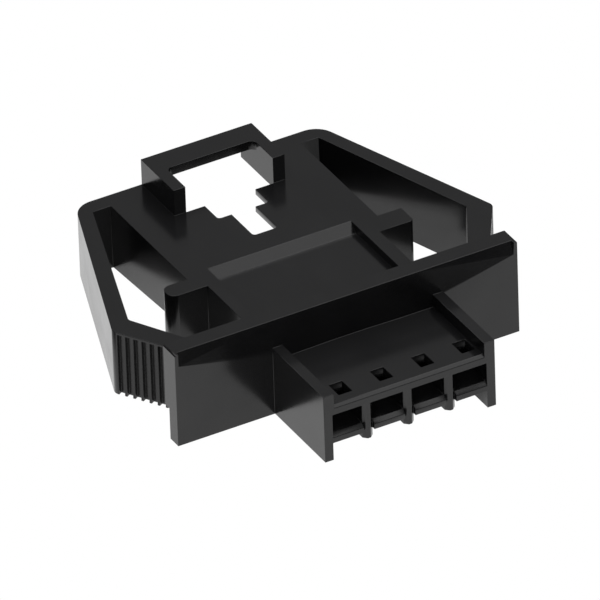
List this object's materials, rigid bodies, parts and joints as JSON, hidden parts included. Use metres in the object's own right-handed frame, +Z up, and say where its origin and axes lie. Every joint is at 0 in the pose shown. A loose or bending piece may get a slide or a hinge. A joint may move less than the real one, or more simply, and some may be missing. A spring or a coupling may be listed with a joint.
{
  "type": "wire to board connector housing",
  "caption": "Moulded connector housing with a slim mating nose, a wide cross flange, a slotted rear deck under a small bridge, and two bent side arms with grip ribs.",
  "frame": {"origin": "on the middle of the row of cells, at the front face of the cross flange, on the plane the housing stands on", "axes": "+X across the row of cells to the right seen from the mating end, +Y from the mating nose to the rear where the wires leave, +Z up, normal to the deck"},
  "size_m": [0.0232, 0.0231, 0.0058],
  "materials": {
    "moulding": "semi-gloss moulded black thermoplastic"
  },
  "bodies": {
    "root": {"housing": "moulding"}
  },
  "joints": []
}
